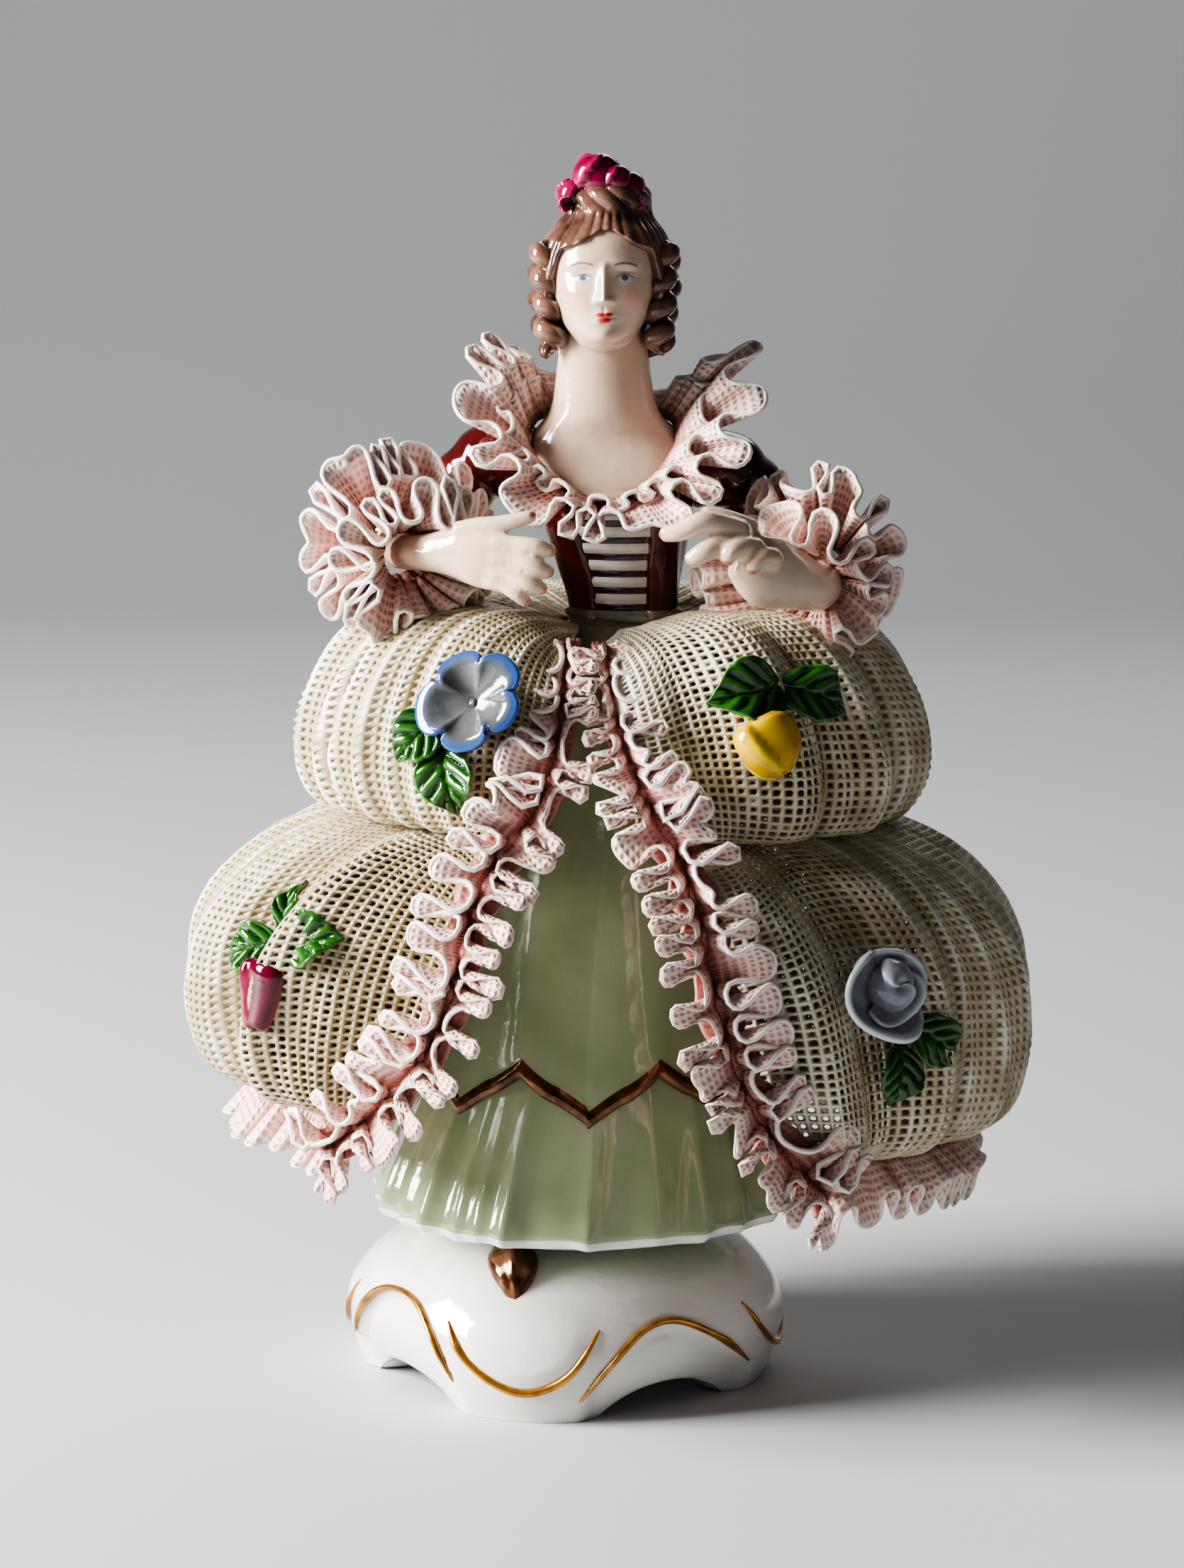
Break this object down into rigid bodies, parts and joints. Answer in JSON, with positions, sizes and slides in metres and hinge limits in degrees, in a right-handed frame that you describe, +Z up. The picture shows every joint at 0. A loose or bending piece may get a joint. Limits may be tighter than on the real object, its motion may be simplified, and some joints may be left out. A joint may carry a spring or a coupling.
{
  "type": "dresden lace figurine",
  "caption": "Porcelain lady in a tiered crinoline of fired lace with pink frills and applied flowers, standing on a scrolled, gilded base.",
  "frame": {"origin": "under the middle of the figurine, on the surface that its feet stand on", "axes": "+Z up from the base to the rose in the hair, the lady faces -Y, +X to the viewer's right"},
  "size_m": [0.103, 0.079, 0.15],
  "materials": {
    "base_glaze": "white glazed porcelain with painted gold lines",
    "gilt": "burnished gold-brown lustre over the glaze",
    "figure_glaze": "painted and glazed porcelain, pale green on the skirt",
    "flesh_glaze": "flesh-tinted glazed porcelain, red-brown on the sleeves",
    "crimson_glaze": "glossy crimson glaze",
    "cream_lace": "fired net dipped in slip, satin cream",
    "pink_lace": "fired net frills tinted pink, satin, paler along their edges",
    "blue_glaze": "glazed, pale grey petals with blue edges",
    "yellow_glaze": "glossy yellow glaze",
    "lilac_glaze": "glossy grey-lilac glaze",
    "leaf_glaze": "glossy dark green glaze with paler veins"
  },
  "bodies": {
    "root": {"base": "base_glaze", "shoe": "gilt", "figure": "figure_glaze", "hair_rose": "crimson_glaze", "arm_left": "flesh_glaze", "arm_right": "flesh_glaze", "lace_upper_left": "cream_lace", "lace_upper_right": "cream_lace", "lace_lower_left": "cream_lace", "lace_lower_right": "cream_lace", "ruffle_collar": "pink_lace", "ruffle_cuff_left_back": "pink_lace", "ruffle_cuff_left_front": "pink_lace", "ruffle_cuff_right_back": "pink_lace", "ruffle_cuff_right_front": "pink_lace", "ruffle_front_left": "pink_lace", "ruffle_front_right": "pink_lace", "ruffle_hem_left": "pink_lace", "ruffle_hem_right": "pink_lace", "flower_blue": "blue_glaze", "flower_blue_leaf_1": "leaf_glaze", "flower_blue_leaf_2": "leaf_glaze", "bud_yellow": "yellow_glaze", "bud_yellow_leaf_1": "leaf_glaze", "bud_yellow_leaf_2": "leaf_glaze", "bud_crimson": "crimson_glaze", "bud_crimson_leaf_1": "leaf_glaze", "bud_crimson_leaf_2": "leaf_glaze", "bud_crimson_leaf_3": "leaf_glaze", "rose_lilac": "lilac_glaze", "rose_lilac_leaf_1": "leaf_glaze", "rose_lilac_leaf_2": "leaf_glaze"}
  },
  "joints": []
}
